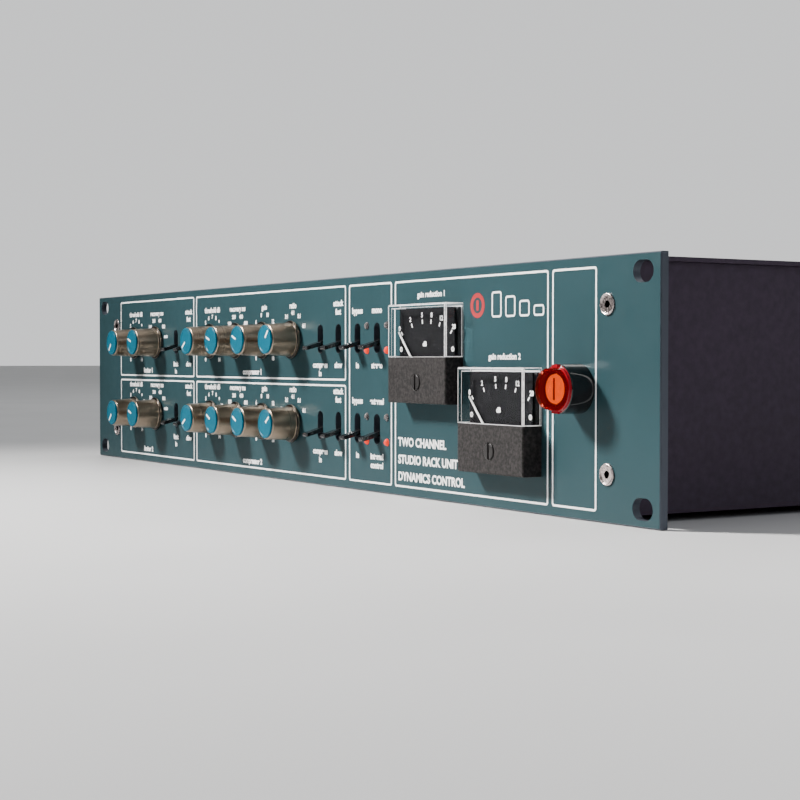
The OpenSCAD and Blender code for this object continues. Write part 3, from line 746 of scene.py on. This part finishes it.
# how far the ink's face stands above what it is printed on
PRINT_LIFT = 0.03
RULE_WIDTH = 0.75
RULE_CORNER = 1.1
BOX_TOP = 40.3
BOX_MIDDLE = 1.25
# left and right ends of the boxes: limiter and compressor, then switches, meters and power
CHANNEL_BOXES = ((-208.7, -113.2), (-109.9, 39.7))
TALL_BOXES = ((43.1, 76.9), (80.0, 181.6), (184.5, 208.4))

# heights of the words over and under a control's axis
HIGH_LINE = 14.8
LOW_LINE = 11.2
LABEL_SIZE = 3.3
LABEL_BOLD = 0.17
SCALE_TITLE_RISE = HIGH_LINE + 0.1
SCALE_TITLE_BOLD = 0.16
SCALE_RADIUS = 12.0
SCALE_FLATTENING = 0.98
SCALE_SIZE = 2.5
SCALE_BOLD = 0.15

# angle and words of each mark
THRESHOLD_MARKS = [(20 * i - 140, str(i)) for i in range(15)]
RECOVERY_MARKS = list(zip((-75, -47, -19, 19, 47, 75), ("50", "100", "200", "400", "800", "auto")))
GAIN_MARKS = [(30 * i - 135, str(2 * i)) for i in range(10)]
RATIO_MARKS = list(zip((-60, -30, 0, 30, 60), ("2:1", "3:1", "4:1", "5:1", "6:1")))
# start of each control's name, its title and its marks
SCALES = (
    ("limit_threshold_", "threshold dB", THRESHOLD_MARKS),
    ("limit_recovery_", "recovery ms", RECOVERY_MARKS),
    ("compress_threshold_", "threshold dB", THRESHOLD_MARKS),
    ("compress_recovery_", "recovery ms", RECOVERY_MARKS),
    ("gain_", "gain", GAIN_MARKS),
    ("ratio_", "ratio", RATIO_MARKS),
)

# two lines above and two below each toggle
LIMIT_WORDS = ("", "", "limit", "in")
COMPRESS_WORDS = ("", "", "compress", "in")
ATTACK_WORDS = ("attack", "fast", "slow", "")
BYPASS_WORDS = ("", "bypass", "in", "")
TOGGLE_LABELS = {
    "limit_in_1": LIMIT_WORDS,
    "limit_in_2": LIMIT_WORDS,
    "compress_in_1": COMPRESS_WORDS,
    "compress_in_2": COMPRESS_WORDS,
    "limit_attack_1": ATTACK_WORDS,
    "limit_attack_2": ATTACK_WORDS,
    "compress_attack_1": ATTACK_WORDS,
    "compress_attack_2": ATTACK_WORDS,
    "bypass_1": BYPASS_WORDS,
    "bypass_2": BYPASS_WORDS,
    "mono_stereo": ("", "mono", "stereo", ""),
    "control_source": ("", "external", "internal", "control"),
}
LABEL_RISES = (HIGH_LINE, LOW_LINE, -LOW_LINE, -HIGH_LINE)

# words with their x and z
METER_TITLES = (("gain reduction 1", 106.5, 34.8), ("gain reduction 2", 155.5, 10.8))
# words with their x, and each channel's number with its z
SECTION_TITLES = (("limiter %d", -171), ("compressor %d", -48))
SECTION_ROWS = ((1, 3.9), (2, -37.4))
# words with their z
PLAIN_LINES = (("TWO CHANNEL", -22.9), ("STUDIO RACK UNIT", -29.8), ("DYNAMICS CONTROL", -36.5))
METER_TITLE_SIZE = 3.05
METER_TITLE_BOLD = 0.12
SECTION_TITLE_SIZE = 3.5
PLAIN_LINE_SIZE = 4.7
PLAIN_LINE_LEFT = 82.2

RING_CENTRE = (138.2, 29.6)
RING_OUTER = 4.6
RING_INNER = 2.9
RING_POINTS = 36
# half the width and half the height
RING_BAR = (0.8, 2.0)
RING_BAR_CORNER = 0.7
STEP_HEIGHTS = (9.4, 7.6, 5.8, 4.0)
STEP_LEFT = 147.4
STEP_FOOT = 25.0
STEP_PITCH = 8.6
STEP_WIDTH = 6.2
STEP_LINE = 0.7
# outside and inside
STEP_CORNERS = (1.2, 0.6)


def print_rule(ink, x0, z0, x1, z1):
    """One printed rectangle, drawn on its centre line."""
    half = RULE_WIDTH / 2
    outer = round_box(x0 - half, z0 - half, x1 + half, z1 + half, RULE_CORNER)
    inner = round_box(x0 + half, z0 + half, x1 - half, z1 - half, RULE_CORNER - RULE_WIDTH * 0.6)
    ink.ring(outer, inner, front_point, 0.0, PRINT_LIFT)


def print_boxes(ink):
    """The white rules that divide the panel into sections."""
    for bottom, top in ((BOX_MIDDLE, BOX_TOP), (-BOX_TOP, -BOX_MIDDLE)):
        for left, right in CHANNEL_BOXES:
            print_rule(ink, left, bottom, right, top)
    for left, right in TALL_BOXES:
        print_rule(ink, left, -BOX_TOP, right, BOX_TOP)


def print_knob_scales(ink):
    """Each knob's title, with its numbers set round it at their angles."""
    for channel in CHANNELS:
        for start, title, marks in SCALES:
            x, z = joint_place(start + channel + "_turn")
            ink.text(title, x, z + SCALE_TITLE_RISE, LABEL_SIZE, front_point, PRINT_LIFT, SCALE_TITLE_BOLD)
            for angle, words in marks:
                a = math.radians(angle)
                mark_x = x + SCALE_RADIUS * math.sin(a)
                mark_z = z + SCALE_RADIUS * math.cos(a) * SCALE_FLATTENING
                ink.text(words, mark_x, mark_z, SCALE_SIZE, front_point, PRINT_LIFT, SCALE_BOLD)


def print_toggle_labels(ink):
    """The words over and under each toggle."""
    for name, lines in TOGGLE_LABELS.items():
        x, z = joint_place(name + "_flip")
        for words, rise in zip(lines, LABEL_RISES):
            if words:
                ink.text(words, x, z + rise, LABEL_SIZE, front_point, PRINT_LIFT, LABEL_BOLD)


def print_titles(ink):
    """Titles of the meters and sections, and three plain lines about what the unit is."""
    for words, x, z in METER_TITLES:
        ink.text(words, x, z, METER_TITLE_SIZE, front_point, PRINT_LIFT, METER_TITLE_BOLD)
    for title, x in SECTION_TITLES:
        for channel, z in SECTION_ROWS:
            ink.text(title % channel, x, z, SECTION_TITLE_SIZE, front_point, PRINT_LIFT, LABEL_BOLD)
    for words, z in PLAIN_LINES:
        ink.text(words, PLAIN_LINE_LEFT, z, PLAIN_LINE_SIZE, front_point, PRINT_LIFT, LABEL_BOLD, "LEFT")


def print_ornament(white, red):
    """A red ring with a bar, and four outlined bars of falling height."""
    cx, cz = RING_CENTRE
    half_width, half_height = RING_BAR
    outer = circle_points(cx, cz, RING_OUTER, RING_POINTS)
    inner = circle_points(cx, cz, RING_INNER, RING_POINTS)
    upright = round_box(cx - half_width, cz - half_height, cx + half_width, cz + half_height,
                        RING_BAR_CORNER)
    red.ring(outer, inner, front_point, 0.0, PRINT_LIFT)
    red.prism(upright, front_point, 0.0, PRINT_LIFT)
    for i, tall in enumerate(STEP_HEIGHTS):
        left = STEP_LEFT + STEP_PITCH * i
        right = left + STEP_WIDTH
        top = STEP_FOOT + tall
        outer = round_box(left, STEP_FOOT, right, top, STEP_CORNERS[0])
        inner = round_box(left + STEP_LINE, STEP_FOOT + STEP_LINE, right - STEP_LINE, top - STEP_LINE,
                          STEP_CORNERS[1])
        white.ring(outer, inner, front_point, 0.0, PRINT_LIFT)


def print_front():
    """Everything printed on the panel, as one piece for each ink."""
    white = Shape()
    red = Shape()
    print_boxes(white)
    print_knob_scales(white)
    print_toggle_labels(white)
    print_titles(white)
    print_ornament(white, red)
    white.build("front_legends", WHITE_INK, CASE, "panel_paint")
    red.build("front_ornament", RED_INK, CASE, "panel_paint")


# ---------------------------------------------------------------- knobs

# half of each kind of knob's travel, in degrees
HALF_TRAVEL = {"threshold": 150, "recovery": 75, "gain": 150, "ratio": 60}
POINTER_START = 1.05
POINTER_END = 5.15
POINTER_WIDTH = 0.92
# how far the inlay's foot and face lie below the cap's face
POINTER_FOOT = 0.45
POINTER_FACE = 0.13


def pointer_angle(control):
    """A pointer's rest angle, clockwise from straight up, from its joint's travel."""
    kind = next(k for k in HALF_TRAVEL if k in control)
    return -HALF_TRAVEL[kind] - JOINTS[control + "_turn"]["range_deg"][0]


def add_pointers():
    """A white inlay in the groove of each cap."""
    for name in NODES:
        if not name.startswith("cap_"):
            continue
        control = name[len("cap_"):]
        x, z = joint_place(control + "_turn")
        top = height_of(name)
        outline = bar(x, z, pointer_angle(control), POINTER_START, POINTER_END, POINTER_WIDTH)
        inlay = Shape()
        inlay.prism(outline, front_point, top - POINTER_FOOT, top - POINTER_FACE)
        inlay.build("pointer_" + control, WHITE_INK, "knob_" + control, "cap_plastic")


# ---------------------------------------------------------------- meters

METER_MARKS = ((-42.9, "0"), (-24.9, "2"), (-6.2, "5"), (8.9, "8"), (23.8, "12"), (41.7, "20"))
# the scale's arc is flatter than a circle: a mark moves out by this times its angle squared
MARK_DRIFT = 0.0013
TICK_START = 22.4
TICK_END = 24.0
TICK_WIDTH = 0.6
NUMBER_RADIUS_X = 26.0
NUMBER_RADIUS_Z = 25.7
METER_TEXT_SIZE = 2.5
NUMBER_BOLD = 0.09
UNIT_BOLD = 0.12
# places from the needle's pivot
UNIT_PLACE = (-0.8, 14.6)
SIGN_PLACE = (18.0, 12.6)
SIGN_OUTER = 0.95
SIGN_INNER = 0.6
SIGN_POINTS = 18
SIGN_BAR = 0.5
SIGN_BAR_WIDTH = 0.25


def print_meter_scale(ink, x, z, foot):
    """Ticks and numbers round a needle's pivot at (x, z), on a dial of height foot."""
    for angle, words in METER_MARKS:
        a = math.radians(angle)
        drift = MARK_DRIFT * angle * angle
        tick = bar(x, z, angle, TICK_START + drift, TICK_END + drift, TICK_WIDTH)
        ink.prism(tick, front_point, foot, foot + PRINT_LIFT)
        number_x = x + (NUMBER_RADIUS_X + drift) * math.sin(a)
        number_z = z + (NUMBER_RADIUS_Z + drift) * math.cos(a)
        ink.text(words, number_x, number_z, METER_TEXT_SIZE, front_point, foot + PRINT_LIFT, NUMBER_BOLD)


def print_meter_signs(ink, x, z, foot):
    """The unit under the scale, and a small ringed bar in each lower corner."""
    unit_x = x + UNIT_PLACE[0]
    unit_z = z + UNIT_PLACE[1]
    ink.text("dB", unit_x, unit_z, METER_TEXT_SIZE, front_point, foot + PRINT_LIFT, UNIT_BOLD)
    for side in (-1, 1):
        centre = (x + side * SIGN_PLACE[0], z + SIGN_PLACE[1])
        outer = circle_points(*centre, SIGN_OUTER, SIGN_POINTS)
        inner = circle_points(*centre, SIGN_INNER, SIGN_POINTS)
        upright = bar(*centre, 0, -SIGN_BAR, SIGN_BAR, SIGN_BAR_WIDTH)
        ink.ring(outer, inner, front_point, foot, foot + PRINT_LIFT)
        ink.prism(upright, front_point, foot, foot + PRINT_LIFT)


def add_meter_print():
    """The print of both dials, as one piece."""
    ink = Shape()
    foot = height_of("meter_dials")
    for channel in CHANNELS:
        x, z = joint_place("needle_%s_swing" % channel)
        print_meter_scale(ink, x, z, foot)
        print_meter_signs(ink, x, z, foot)
    ink.build("meter_scales", WHITE_INK, CASE, "dial_print")


# ---------------------------------------------------------------- power button and lamps

# heights above the panel's face
BUTTON_STEM_FOOT = -6
BUTTON_STEM_TOP = 3.6
SLEEVE_TOP = 9.9
# radius and thicknesses of the stem and the lens
BUTTON_STEM_RADIUS = 2.4
BUTTON_STEPS = 72
LENS_EDGE = 0.7
LENS_WALL = 0.6
LENS_FACE = 1.2
POWER_LAMP_STEPS = 64
# radius of the lamp disc and its height over the sleeve, from its foot to its middle
POWER_LAMP = ((4.95, 0), (4.9, 0.3), (4.7, 0.4), (0, 0.45))
# half the width and half the height of the bar, and its heights over the sleeve
LAMP_BAR_SIZE = (0.42, 3.7)
LAMP_BAR_CORNER = 0.4
LAMP_BAR_HEIGHTS = (0.3, 0.6)
# the two faces of the dark wall of painted shade in the lens's left half, measured in from the button's rim, and
# its ends in degrees
SHADE_WALL_INSETS = (0.7, 1.2)
SHADE_WALL_ENDS = (80, 280)
SHADE_WALL_STEPS = 30
SHADE_WALL_BELOW_FACE = 1.3
SHADE_WALL_GAP = 0.01
LENS_GAP = 0.02

LAMP_TOGGLES = ("bypass_1", "mono_stereo", "bypass_2", "control_source")
LAMP_ASIDE = 7.9
LAMP_RISE = 5.0
DOME_RADIUS = 1.5
DOME_FOOT = -2.8
DOME_CENTRE = -0.3
DOME_STEPS = 32
SEAT_RADIUS = 1.45
SEAT_HEIGHTS = (-4.4, -3.0)
SEAT_STEPS = 24


def add_button_part(name, shape, material, smooth=True):
    """A piece that goes in and out with the power button."""
    return shape.build(name, material, "power_button", "button_lens", smooth)


def add_power_button():
    """A clear red lens on a dark sleeve, over a glowing disc with a bar, and a dark wall at its side that paints
    shade into the lens.
    """
    low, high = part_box("power_button")
    x = (low.x + high.x) / 2 / MM
    z = (low.z + high.z) / 2 / MM
    radius = (high.x - low.x) / 2 / MM
    face = height_of("power_button")
    centre = (x, z)

    sleeve = Shape()
    sleeve.lathe([(0, BUTTON_STEM_FOOT), (BUTTON_STEM_RADIUS, BUTTON_STEM_FOOT),
                  (BUTTON_STEM_RADIUS, BUTTON_STEM_TOP), (radius, BUTTON_STEM_TOP),
                  (radius, SLEEVE_TOP), (0, SLEEVE_TOP)], centre, front_point, BUTTON_STEPS)
    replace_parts(add_button_part("button_sleeve", sleeve, BUTTON_SIDE), "power_button")

    lamp = Shape()
    lamp.lathe([(0, SLEEVE_TOP)] + [(r, SLEEVE_TOP + h) for r, h in POWER_LAMP],
               centre, front_point, POWER_LAMP_STEPS)
    add_button_part("power_lamp", lamp, LAMP_ORANGE)

    half_width, half_height = LAMP_BAR_SIZE
    outline = round_box(x - half_width, z - half_height, x + half_width, z + half_height,
                        LAMP_BAR_CORNER)
    foot, top = LAMP_BAR_HEIGHTS
    line = Shape()
    line.prism(outline, front_point, SLEEVE_TOP + foot, SLEEVE_TOP + top)
    add_button_part("power_lamp_bar", line, LAMP_DARK, smooth=False)

    # a dark red wall inside the lens's left half, put there as painted shade
    start, end = SHADE_WALL_ENDS
    outer = arc_points(x, z, radius - SHADE_WALL_INSETS[0], start, end, SHADE_WALL_STEPS)
    inner = arc_points(x, z, radius - SHADE_WALL_INSETS[1], end, start, SHADE_WALL_STEPS)
    shade_wall = Shape()
    shade_wall.prism(outer + inner, front_point, SLEEVE_TOP + SHADE_WALL_GAP, face - SHADE_WALL_BELOW_FACE)
    add_button_part("power_lamp_shade_wall", shade_wall, BUTTON_SIDE)

    inside = radius - LENS_WALL
    rim = arc_points(radius - LENS_EDGE, face - LENS_EDGE, LENS_EDGE, 0, 90, 6)
    lens = Shape()
    lens.lathe([(0, face - LENS_FACE), (inside, face - LENS_FACE), (inside, SLEEVE_TOP + LENS_GAP),
                (radius, SLEEVE_TOP + LENS_GAP)] + rim + [(0, face)], centre, front_point, BUTTON_STEPS)
    add_button_part("button_lens", lens, BUTTON_LENS)


def add_indicators():
    """Domed lamps: the lower of each pair glows red, the upper is clear and unlit."""
    lit = Shape()
    dark = Shape()
    seats = Shape()
    dome = [(0.0, DOME_FOOT), (DOME_RADIUS, DOME_FOOT), (DOME_RADIUS, DOME_CENTRE)]
    dome += arc_points(0.0, DOME_CENTRE, DOME_RADIUS, 10, 80, 7)
    dome += [(0.0, DOME_CENTRE + DOME_RADIUS)]
    foot, top = SEAT_HEIGHTS
    seat = [(0.0, foot), (SEAT_RADIUS, foot), (SEAT_RADIUS, top), (0.0, top)]
    for name in LAMP_TOGGLES:
        x, z = joint_place(name + "_flip")
        for rise, shape in ((LAMP_RISE, dark), (-LAMP_RISE, lit)):
            centre = (x + LAMP_ASIDE, z + rise)
            shape.lathe(dome, centre, front_point, DOME_STEPS)
            seats.lathe(seat, centre, front_point, SEAT_STEPS)
    first = lit.build("indicators_lit", LED_LIT, CASE, "lamp_lens", smooth=True)
    dark.build("indicators_unlit", LED_CLEAR, CASE, "lamp_lens", smooth=True)
    seats.build("indicator_seats", SWITCH_BLACK, CASE, "lamp_lens", smooth=True)
    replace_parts(first, "indicator_lamps")


# ---------------------------------------------------------------- rear details

PIN_CIRCLE = 4.6
PIN_ANGLES = (30, 150, 270)
# radius and height behind the rear panel, from the foot of a pin's sleeve to its tip
PIN_SLEEVE = ((1.22, -11.9), (1.22, -1.3), (0.9, -0.95), (0.0, -0.9))
PIN_STEPS = 24
# x from the inlet's axis, lower end, and height of the tip of each blade's sleeve
BLADES = ((-7, -4.5, -1.98), (7, -4.5, -1.98), (0, 0.5, -0.48))
BLADE_HALF_WIDTH = 1.02
BLADE_WALL = 0.02
BLADE_LENGTH = 4.0
BLADE_CORNER = 0.2
BLADE_FOOT = -14.9
REAR_WORDS = {
    "channel_1_input": "in 1",
    "channel_1_output": "out 1",
    "channel_2_input": "in 2",
    "channel_2_output": "out 2",
    "external_control_1": "control 1",
    "external_control_2": "control 2",
    "mains_connector": "mains",
}
REAR_WORDS_RISE = 21.5
REAR_WORDS_SIZE = 4.2
REAR_WORDS_BOLD = 0.06


def rear_x(mount):
    """A mount's place across the rear panel, in mm to the right seen from behind."""
    return -mount["pos_m"][0] / MM


def add_rear_contacts():
    """Metal sleeves on the pins of the output sockets and on the inlet's blades."""
    metal = Shape()
    for mount in MOUNTS:
        x = rear_x(mount)
        if mount["name"].endswith("_output"):
            for angle in PIN_ANGLES:
                a = math.radians(angle)
                centre = (x + PIN_CIRCLE * math.cos(a), PIN_CIRCLE * math.sin(a))
                metal.lathe(PIN_SLEEVE, centre, rear_point, PIN_STEPS)
        if mount["name"] == "mains_connector":
            for aside, low, tip in BLADES:
                outline = round_box(x + aside - BLADE_HALF_WIDTH, low - BLADE_WALL,
                                    x + aside + BLADE_HALF_WIDTH, low + BLADE_LENGTH + BLADE_WALL,
                                    BLADE_CORNER)
                metal.prism(outline, rear_point, BLADE_FOOT, tip)
    metal.build("rear_contacts", CONTACT_METAL, CASE, "screw_steel", smooth=True)


def print_rear():
    """Short plain words over the rear connectors."""
    ink = Shape()
    for mount in MOUNTS:
        words = REAR_WORDS.get(mount["name"])
        if words:
            ink.text(words, rear_x(mount), REAR_WORDS_RISE, REAR_WORDS_SIZE, rear_point, PRINT_LIFT,
                     REAR_WORDS_BOLD)
    ink.build("rear_legends", WHITE_INK, CASE, "case_paint")


# ---------------------------------------------------------------- floor

FLOOR_RINGS = (0.6, 1.5, 4.0, 12.0)
FLOOR_STEPS = 64
FLOOR_GAP = 0.0002


def add_floor():
    """A wide pale disc under the panel's lower edge."""
    height = cad_box[0].z - FLOOR_GAP
    n = len(FLOOR_RINGS)
    points = []
    faces = []
    for k in range(FLOOR_STEPS):
        a = 2 * math.pi * k / FLOOR_STEPS
        points += [(r * math.cos(a), r * math.sin(a), height) for r in FLOOR_RINGS]
        j = (k + 1) % FLOOR_STEPS
        faces += [(k * n + i, j * n + i, j * n + i + 1, k * n + i + 1) for i in range(n - 1)]
    faces.append(tuple(k * n for k in range(FLOOR_STEPS)))
    make_mesh_object("floor", points, faces, floor_finish())


add_camera()
add_lights()
add_floor()
paint_frame()
print_front()
add_pointers()
add_meter_print()
add_power_button()
add_indicators()
add_rear_contacts()
print_rear()
